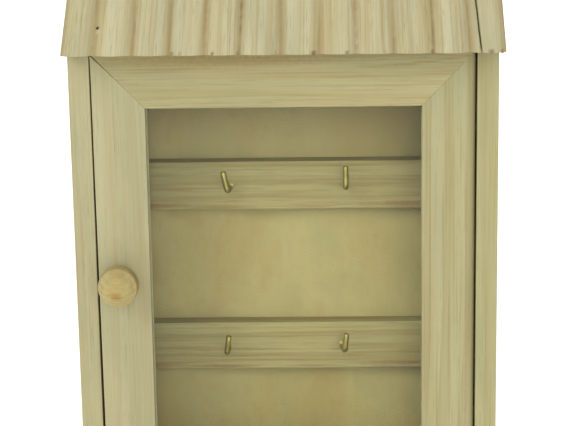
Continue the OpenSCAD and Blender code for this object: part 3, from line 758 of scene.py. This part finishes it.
def make_roof():
    looks = dict(late=0.35, streak=0.65, pores=0.45, band=1.0, palette=ROOF_WOOD)
    grain = wood("roof_grain", GRAIN_SLOPE, (25, 96, 250), marks=nail_marks(), **looks)
    strip_grain = wood("roof_strip_grain", GRAIN_SLOPE, (65, -190, 196), ring=6.5, streak=0.6, palette=STRIP_WOOD)
    last_valley = VALLEYS[-2]
    fine = [0.0, 0.15, 0.4, 0.7]
    columns = fine + spaced(1.0, last_valley, 0.75) + spaced(last_valley, ROOF_W - STRIP_W, 0.5)[1:]

    def board_place(c, along):
        if c <= last_valley:
            return c
        share = (c - last_valley) / (ROOF_W - STRIP_W - last_valley)
        return last_valley + share * (strip_line(along) - STRIP_GAP / 2 - last_valley)

    roof_piece("roof_slab", "roof_board", columns, board_place, grain)

    def strip_place(c, along):
        left = strip_line(along) + STRIP_GAP / 2
        return left + c * (ROOF_W - left)

    shares = [0.0, 0.02, 0.05] + spaced(0.08, 0.92, 0.05) + [0.95, 0.98, 1.0]
    roof_piece("roof_strip", "roof_edge_strip", shares, strip_place, strip_grain)


# ---------------------------------------------------------------- turned and drawn pieces


def lathe_parts(profile, steps=40):
    """Vertices and faces of a profile of (radius, height) pairs in millimetres, turned about Z."""
    verts, faces = [], []
    for r, h in profile:
        for i in range(steps):
            a = 2 * math.pi * i / steps
            verts.append(Vector((r * math.cos(a), r * math.sin(a), h)) * MM)
    for j in range(len(profile) - 1):
        for i in range(steps):
            k = (i + 1) % steps
            faces.append((j * steps + i, j * steps + k, (j + 1) * steps + k, (j + 1) * steps + i))
    return verts, faces


def lathe_mesh(name, profile, steps=40, place=None):
    verts, faces = lathe_parts(profile, steps)
    if place is not None:
        verts = [place @ v for v in verts]
    return mesh_from(name, verts, faces)


def round_corner(centre, r, start, end, count):
    """Profile points of a round corner, from one angle to the other in degrees."""
    points = []
    for i in range(count + 1):
        a = math.radians(start + (end - start) * i / count)
        points.append((centre[0] + r * math.cos(a), centre[1] + r * math.sin(a)))
    return points


def knob_profile(high, wide):
    """From the foot against the door to the middle of the domed face."""
    foot = [(0.0, 0.0), (5.4, 0.0), (5.7, 0.5), (5.6, 1.4), (5.0, 2.2)]
    neck = [(4.6, 3.4), (4.4, 5.0), (4.5, 6.4), (5.0, 7.6), (6.2, 8.8), (7.6, 9.9)]
    head = round_corner((wide - 2.6, 12.6), 2.6, -50, 0, 6)
    rim = round_corner((wide - 2.2, high - 6.2), 2.2, 0, 62, 8)
    face_start = rim[-1]
    dome = []
    for i in range(1, 13):
        share = i / 12
        r = face_start[0] * (1.0 - share)
        h = high - (high - face_start[1]) * (1.0 - share) ** 2.2
        ring = 0.1 * math.exp(-(((r - wide * 0.74) / 0.4) ** 2))
        dome.append((r, h - ring))
    return foot + neck + head + rim + dome


def make_knob():
    centre = (KNOB_LO + KNOB_HI) / 2
    high = (KNOB_HI.y - KNOB_LO.y) / MM
    wide = (KNOB_HI.x - KNOB_LO.x) / MM / 2
    place = Matrix.Translation((centre.x, KNOB_HI.y, centre.z)) @ Matrix.Rotation(math.pi / 2, 4, "X")
    mesh = lathe_mesh("turned_knob", knob_profile(high, wide), 72, place)
    shade(mesh, 60)
    x, y, z = centre.x / MM, KNOB_LO.y / MM, centre.z / MM
    marks = [
        ((x + 5.0, y, z + 1.5), (2.2, 9.0, 4.5), KNOB_WOOD[0], 0.55),
        ((x - 0.8, y, z - 2.4), (5.2, 9.0, 2.8), KNOB_WOOD[3], 0.85),
        ((x - 0.5, y, z - 3.6), (2.8, 9.0, 1.4), KNOB_WOOD[4], 0.4),
        ((x + 2.0, y, z + 6.6), (5.0, 9.0, 1.3), KNOB_WOOD[3], 0.45),
        ((x + 6.6, y, z + 3.6), (1.2, 9.0, 3.4), KNOB_WOOD[3], 0.4),
    ]
    pith = (30, -16.0, z - 62.0)
    looks = dict(ring=3.2, late=0.3, pores=0.2, streak=0.45, palette=KNOB_WOOD)
    grain = wood("knob_grain", GRAIN_X, pith, marks=marks, **looks)
    obj = new_object("turned_knob", mesh, DOOR, grain, "knob_beech")
    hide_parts("door_knob")


def islands(node):
    """The separate solids of a CAD node, each as a list of its vertices."""
    bm = bmesh.new()
    bm.from_mesh(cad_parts[node].data)
    bmesh.ops.remove_doubles(bm, verts=bm.verts, dist=1e-6)
    left = set(bm.verts)
    found = []
    while left:
        stack = [left.pop()]
        part = []
        while stack:
            v = stack.pop()
            part.append(v.co.copy())
            for e in v.link_edges:
                other = e.other_vert(v)
                if other in left:
                    left.remove(other)
                    stack.append(other)
        found.append(part)
    bm.free()
    found.sort(key=lambda part: tuple(round(c, 5) for c in sum(part, Vector()) / len(part)))
    return found


def ends_of(part, inward):
    """The middle of a fastener's head, and its length in millimetres, from its solid and the way that it points."""
    depth = [v.dot(inward) for v in part]
    lowest = min(depth)
    head = [v for v, d in zip(part, depth) if d < lowest + 0.02 * MM]
    return sum(head, Vector()) / len(head), (max(depth) - lowest) / MM


def stand(origin, inward):
    """A place whose Z axis points out of the head, opposite to inward."""
    turn = (-inward).to_track_quat("Z", "Y").to_matrix().to_4x4()
    return Matrix.Translation(origin) @ turn


def brad_profile(length, head_r=1.15, r=0.68):
    """A brad with a small domed head whose top is at height 0."""
    dome = [(0.0, 0.04), (head_r * 0.5, 0.02), (head_r * 0.85, -0.06), (head_r, -0.2), (head_r * 0.96, -0.45)]
    shank = [(r, -0.7), (r, -1.2), (r * 1.06, -1.35), (r, -1.5), (r, -length + 1.6)]
    point = [(r * 0.55, -length + 0.8), (0.0, -length)]
    return dome + shank + point


def screw_profile(length, r, head_r):
    """A countersunk screw with a ridged thread; the flat of its head is at height 0."""
    head_h = head_r - r
    head = [(0.0, -0.02), (head_r * 0.9, -0.02), (head_r * 0.99, -0.12), (head_r * 0.99, -0.3), (r, -head_h - 0.2)]
    thread = []
    h, pitch = -head_h - 0.9, 0.9
    while h > -length + 2.4:
        thread += [(r * 0.78, h), (r * 0.78, h - 0.42), (r, h - 0.6), (r * 0.98, h - 0.68)]
        h -= pitch
    point = [(r * 0.7, -length + 1.8), (r * 0.3, -length + 0.7), (0.0, -length)]
    return head + thread + point


def cross_cutter(size, deep):
    """A tapered cross that sinks a driver's recess into a screw's head."""
    bm = bmesh.new()
    for turn in (0.0, math.pi / 2):
        made = bmesh.ops.create_cube(bm, size=1.0)
        for v in made["verts"]:
            low = v.co.z < 0
            narrow = 0.55 if low else 1.0
            v.co = Vector((v.co.x * size * narrow, v.co.y * size * 0.24, v.co.z * deep * 2))
            v.co = Matrix.Rotation(turn, 3, "Z") @ v.co * MM
    mesh = bpy.data.meshes.new("cross_cutter")
    bm.to_mesh(mesh)
    bm.free()
    return mesh


def with_recess(mesh, size, deep):
    """The mesh with a cross recess sunk into the origin from above."""
    obj = bpy.data.objects.new("blank", mesh)
    cutter = bpy.data.objects.new("cutter", cross_cutter(size, deep))
    for o in (obj, cutter):
        bpy.context.scene.collection.objects.link(o)
    mod = obj.modifiers.new("recess", "BOOLEAN")
    mod.operation = "DIFFERENCE"
    mod.solver = "EXACT"
    mod.use_self = True
    mod.object = cutter
    graph = bpy.context.evaluated_depsgraph_get()
    cut = bpy.data.meshes.new_from_object(obj.evaluated_get(graph))
    for o in (obj, cutter):
        bpy.data.objects.remove(o)
    return cut


def joined(name, meshes, places):
    """One mesh of copies of meshes, each set at its place."""
    bm = bmesh.new()
    for mesh, place in zip(meshes, places):
        part = mesh.copy()
        part.transform(place)
        bm.from_mesh(part)
        bpy.data.meshes.remove(part)
    out = bpy.data.meshes.new(name)
    bm.to_mesh(out)
    bm.free()
    return out


def side_way(part):
    """Inward for a fastener that comes from the nearer side."""
    return Vector((1.0, 0.0, 0.0)) if sum(v.x for v in part) < 0 else Vector((-1.0, 0.0, 0.0))


def fasteners(node, name, body, material, slot, way, make):
    """Detailed copies of a CAD node's fasteners. way(part) gives the way each points; make(length) its mesh."""
    meshes, places = [], []
    for part in islands(node):
        inward = way(part)
        head, length = ends_of(part, inward)
        meshes.append(make(length))
        places.append(stand(head, inward))
    mesh = joined(name, meshes, places)
    shade(mesh, 40)
    obj = new_object(name, mesh, body, material, slot)
    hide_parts(node)


def brad_mesh(length):
    return lathe_mesh("brad", brad_profile(length), 20)


def screw_maker(r, head_r):
    def make(length):
        blank = lathe_mesh("screw", screw_profile(length, r, head_r), 32)
        return with_recess(blank, head_r * 1.05, head_r * 0.45)

    return make


def make_fasteners():
    forward = Vector((0.0, -1.0, 0.0))
    into_roof = Vector((0.0, math.sin(SLOPE), -math.cos(SLOPE)))
    dark, zinc = "dark_steel", "zinc_plated_steel"
    fasteners("carcass_nails", "case_brads", CASE, DARK_STEEL, dark, side_way, brad_mesh)
    fasteners("back_panel_nails", "back_brads", CASE, DARK_STEEL, dark, lambda p: forward, brad_mesh)
    fasteners("roof_nails", "roof_brads", CASE, DARK_STEEL, dark, lambda p: into_roof, brad_mesh)
    fasteners("rail_screws", "key_rail_screws", CASE, ZINC, zinc, lambda p: forward, screw_maker(1.4, 2.8))
    fasteners("hanger_screws", "plate_screws", CASE, ZINC, zinc, lambda p: forward, screw_maker(1.2, 2.4))
    fasteners("knob_screw", "knob_bolt", DOOR, ZINC, zinc, lambda p: forward, screw_maker(1.75, 3.5))
    fasteners("strike_screws", "strike_fixings", DOOR, ZINC, zinc, lambda p: forward, screw_maker(1.0, 1.9))
    left = Vector((-1.0, 0.0, 0.0))
    fasteners("stop_block_screws", "block_screws", CASE, ZINC, zinc, lambda p: left, screw_maker(1.4, 2.8))


def pin_profile(r, length, chamfer=0.3):
    """A plain pin from height 0 up, with chamfered ends."""
    return [
        (0.0, 0.0), (r - chamfer, 0.0), (r, chamfer), (r, length - chamfer), (r - chamfer, length), (0.0, length),
    ]


def upright(node, name, body, material, slot, profile):
    """A turned piece that stands on Z where a CAD node is."""
    lo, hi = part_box(node)
    place = Matrix.Translation(((lo.x + hi.x) / 2, (lo.y + hi.y) / 2, lo.z))
    mesh = lathe_mesh(name, profile, 48, place)
    shade(mesh, 35)
    obj = new_object(name, mesh, body, material, slot)
    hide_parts(node)


def make_pivots():
    for node, name in (("top_pivot_pin", "upper_pivot"), ("bottom_pivot_pin", "lower_pivot")):
        lo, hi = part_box(node)
        r, length = (hi.x - lo.x) / MM / 2, (hi.z - lo.z) / MM
        upright(node, name, CASE, PIN_STEEL, "pin_steel", pin_profile(r, length))
    lo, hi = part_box("pivot_washer")
    outer, inner, high = (hi.x - lo.x) / MM / 2, 1.56, (hi.z - lo.z) / MM
    ring = [
        (inner, 0.15), (inner + 0.15, 0.0), (outer - 0.25, 0.0), (outer, 0.25), (outer, high - 0.25),
        (outer - 0.25, high), (inner + 0.15, high), (inner, high - 0.15), (inner, 0.15),
    ]
    upright("pivot_washer", "pivot_ring", CASE, BRASS, "hook_brass", ring)


def make_catch():
    lo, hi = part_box("catch_magnet")
    place = Matrix.Translation(((lo.x + hi.x) / 2, lo.y, (lo.z + hi.z) / 2)) @ Matrix.Rotation(-math.pi / 2, 4, "X")
    r, length = (hi.x - lo.x) / MM / 2, (hi.y - lo.y) / MM
    mesh = lathe_mesh("magnet_disc", pin_profile(r, length, 0.35), 48, place)
    shade(mesh, 35)
    obj = new_object("magnet_disc", mesh, CASE, NICKEL, "magnet")
    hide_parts("catch_magnet")
    board("strike_plate", DOOR, ZINC, "zinc_plated_steel", round_mm=0.25, uneven_mm=0.0, cuts=False)


def make_hangers():
    for side in ("left", "right"):
        node = "hanger_plate_" + side
        board(node, CASE, ZINC, "zinc_plated_steel", round_mm=0.25, uneven_mm=0.0, least_mm=3.0, cuts=False)


HOOK_REACH = 10.0
HOOK_BEND = 2.5
HOOK_SHANK = 7.5
# How each hook was driven in: sideways turn, lean and droop in degrees, and the height of its leg in mm
HOOKS = {
    "hook_upper_left": (-9.0, -9.5, 4.5, 9.0),
    "hook_upper_right": (0.0, 0.5, -2.0, 9.6),
    "hook_lower_left": (-3.0, 9.0, 6.0, 8.5),
    "hook_lower_right": (9.0, 4.5, 6.0, 8.2),
}


def hook_path(wire, leg):
    """Centre line of a hook and the wire's radius along it, in millimetres, from the buried end to the leg's tip."""
    stem = HOOK_REACH - HOOK_BEND
    points = [((0.0, HOOK_SHANK, 0.0), wire * 0.35), ((0.0, HOOK_SHANK - 1.2, 0.0), wire * 0.75)]
    y = HOOK_SHANK - 1.5
    # A rolled thread: its crests stand a little proud of the wire, out to just in front of the rail
    while y > -2.2:
        points += [((0.0, y, 0.0), wire * 0.86), ((0.0, y - 0.22, 0.0), wire * 1.16)]
        points += [((0.0, y - 0.34, 0.0), wire * 1.16), ((0.0, y - 0.56, 0.0), wire * 0.86)]
        y -= 0.8
    points += [((0.0, -3.0, 0.0), wire), ((0.0, -stem, 0.0), wire)]
    for i in range(1, 13):
        a = math.pi / 2 * i / 12
        place = (0.0, -stem - HOOK_BEND * math.sin(a), HOOK_BEND * (1.0 - math.cos(a)))
        points.append((place, wire * (1.0 + 0.03 * math.sin(2 * a))))
    tip = leg + wire
    points += [((0.0, -HOOK_REACH, leg - 2.0), wire), ((0.0, -HOOK_REACH, tip - 0.4), wire)]
    points += [((0.0, -HOOK_REACH, tip - 0.1), wire * 0.86), ((0.0, -HOOK_REACH, tip), wire * 0.6)]
    return points


def swept(name, points, steps=28):
    """A closed tube along points that lie in the plane x = 0."""
    verts, faces = [], []
    count = len(points)
    for i, (place, r) in enumerate(points):
        before, after = Vector(points[max(0, i - 1)][0]), Vector(points[min(count - 1, i + 1)][0])
        way = (after - before).normalized()
        side = Vector((1.0, 0.0, 0.0))
        up = way.cross(side)
        for k in range(steps):
            a = 2 * math.pi * k / steps
            verts.append((Vector(place) + (side * math.cos(a) + up * math.sin(a)) * r) * MM)
    for i in range(count - 1):
        for k in range(steps):
            j = (k + 1) % steps
            faces.append((i * steps + k, i * steps + j, (i + 1) * steps + j, (i + 1) * steps + k))
    faces.append(tuple(range(steps)))
    faces.append(tuple(range((count - 1) * steps, count * steps)))
    return mesh_from(name, verts, faces)


def middle_of(corners):
    lo = [min(v[i] for v in corners) for i in range(3)]
    hi = [max(v[i] for v in corners) for i in range(3)]
    return (Vector(lo) + Vector(hi)) / 2


def make_hooks():
    wire = (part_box("hook_upper_right")[1].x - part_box("hook_upper_right")[0].x) / MM / 2 - 0.04
    for node, (turn, lean, droop, leg) in HOOKS.items():
        mesh = swept(node + "_wire", hook_path(wire, leg))
        turning = Matrix.Rotation(math.radians(turn), 4, "Z") @ Matrix.Rotation(math.radians(lean), 4, "Y")
        mesh.transform(turning @ Matrix.Rotation(math.radians(droop), 4, "X"))
        lo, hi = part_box(node)
        mesh.transform(Matrix.Translation((lo + hi) / 2 - middle_of([v.co for v in mesh.vertices])))
        shade(mesh, 45)
        obj = new_object(node + "_wire", mesh, CASE, BRASS, "hook_brass")
        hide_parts(node)


def keep_cad(node, material):
    """A CAD node whose shape is already right gets its finish."""
    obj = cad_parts[node]
    obj.data.materials.clear()
    obj.data.materials.append(material)


def make_hidden_steel():
    keep_cad("mitre_v_nails", DARK_STEEL)
    keep_cad("glazing_pins", DARK_STEEL)


# ---------------------------------------------------------------- studio

CAMERA_LENS = 120.6
CAMERA_AWAY = 869.7 * MM
CAMERA_RIGHT = 25.6 * MM
CAMERA_ABOVE = 158.1 * MM
CAMERA_YAW = math.radians(1.733)
CAMERA_PITCH = math.radians(13.484)
CAMERA_ROLL = math.radians(-0.940)
FLOOR_R = 8.0
FLOOR_GLOW = 0.38
WORLD_LIGHT = 0.65


def make_camera():
    """The camera stands in front of the door, a little to the right, and looks down at it."""
    data = bpy.data.cameras.new("camera")
    data.lens = CAMERA_LENS
    data.sensor_width = 36.0
    cam = bpy.data.objects.new("camera", data)
    bpy.context.scene.collection.objects.link(cam)
    opening_top = RAIL_LO.z
    middle = (LEFT_LO.x + RIGHT_HI.x) / 2
    spot = Vector((middle + CAMERA_RIGHT, FRONT_Y - CAMERA_AWAY, opening_top + CAMERA_ABOVE))
    turn = (
        Matrix.Rotation(CAMERA_YAW, 4, "Z")
        @ Matrix.Rotation(math.pi / 2 - CAMERA_PITCH, 4, "X")
        @ Matrix.Rotation(CAMERA_ROLL, 4, "Z")
    )
    cam.matrix_world = Matrix.Translation(spot) @ turn
    bpy.context.scene.camera = cam


def make_floor():
    mesh = lathe_mesh("floor", [(0.0, 0.0), (FLOOR_R / MM * 0.3, 0.0), (FLOOR_R / MM, 0.0)], 64)
    g = Graph("floor_paper")
    here = g.coords()
    tone = g.noise(here, (0.02, 0.02, 0.02), detail=3.0)
    g.finish(g.mix(tone, (0.93, 0.93, 0.93, 1.0), (0.95, 0.95, 0.945, 1.0)), 0.9, None, specular=0.1)
    g.shader.inputs["Emission Color"].default_value = (1.0, 1.0, 1.0, 1.0)
    g.shader.inputs["Emission Strength"].default_value = FLOOR_GLOW
    mesh.materials.append(g.material)
    floor = bpy.data.objects.new("floor", mesh)
    bpy.context.scene.collection.objects.link(floor)
    floor.location.z = -0.0005


def area_light(name, at, target, size, power, colour=(1.0, 1.0, 1.0)):
    data = bpy.data.lights.new(name, "AREA")
    data.shape = "DISK"
    data.size = size
    data.energy = power
    data.color = colour
    lamp = bpy.data.objects.new(name, data)
    bpy.context.scene.collection.objects.link(lamp)
    lamp.location = at
    lamp.rotation_mode = "QUATERNION"
    lamp.rotation_quaternion = (Vector(target) - Vector(at)).to_track_quat("-Z", "Y")


def make_world():
    """White all round: as bright as paper behind the object, and softer where it lights it."""
    world = bpy.data.worlds.new("studio")
    bpy.context.scene.world = world
    world.use_nodes = True
    tree = world.node_tree
    back = tree.nodes["Background"]
    back.inputs[0].default_value = (1.0, 1.0, 1.0, 1.0)
    path = tree.nodes.new("ShaderNodeLightPath")
    seen = tree.nodes.new("ShaderNodeMath")
    seen.operation = "MAXIMUM"
    tree.links.new(path.outputs["Is Camera Ray"], seen.inputs[0])
    tree.links.new(path.outputs["Is Transmission Ray"], seen.inputs[1])
    level = tree.nodes.new("ShaderNodeMapRange")
    level.inputs[3].default_value = WORLD_LIGHT
    level.inputs[4].default_value = 1.0
    tree.links.new(seen.outputs[0], level.inputs[0])
    tree.links.new(level.outputs[0], back.inputs[1])


def make_lights():
    aim = (0.0, 0.0, 0.16)
    area_light("key", (-1.1, -1.5, 1.35), aim, 1.0, 16.5)
    area_light("fill", (0.35, -2.3, 0.75), aim, 1.4, 18.5)
    area_light("back", (0.6, 1.8, 1.4), aim, 1.2, 16.0)
    bpy.context.scene.view_settings.view_transform = "Standard"


make_camera()
make_case()
make_door()
make_roof()
make_knob()
make_fasteners()
make_pivots()
make_catch()
make_hangers()
make_hooks()
make_hidden_steel()
make_floor()
make_world()
make_lights()
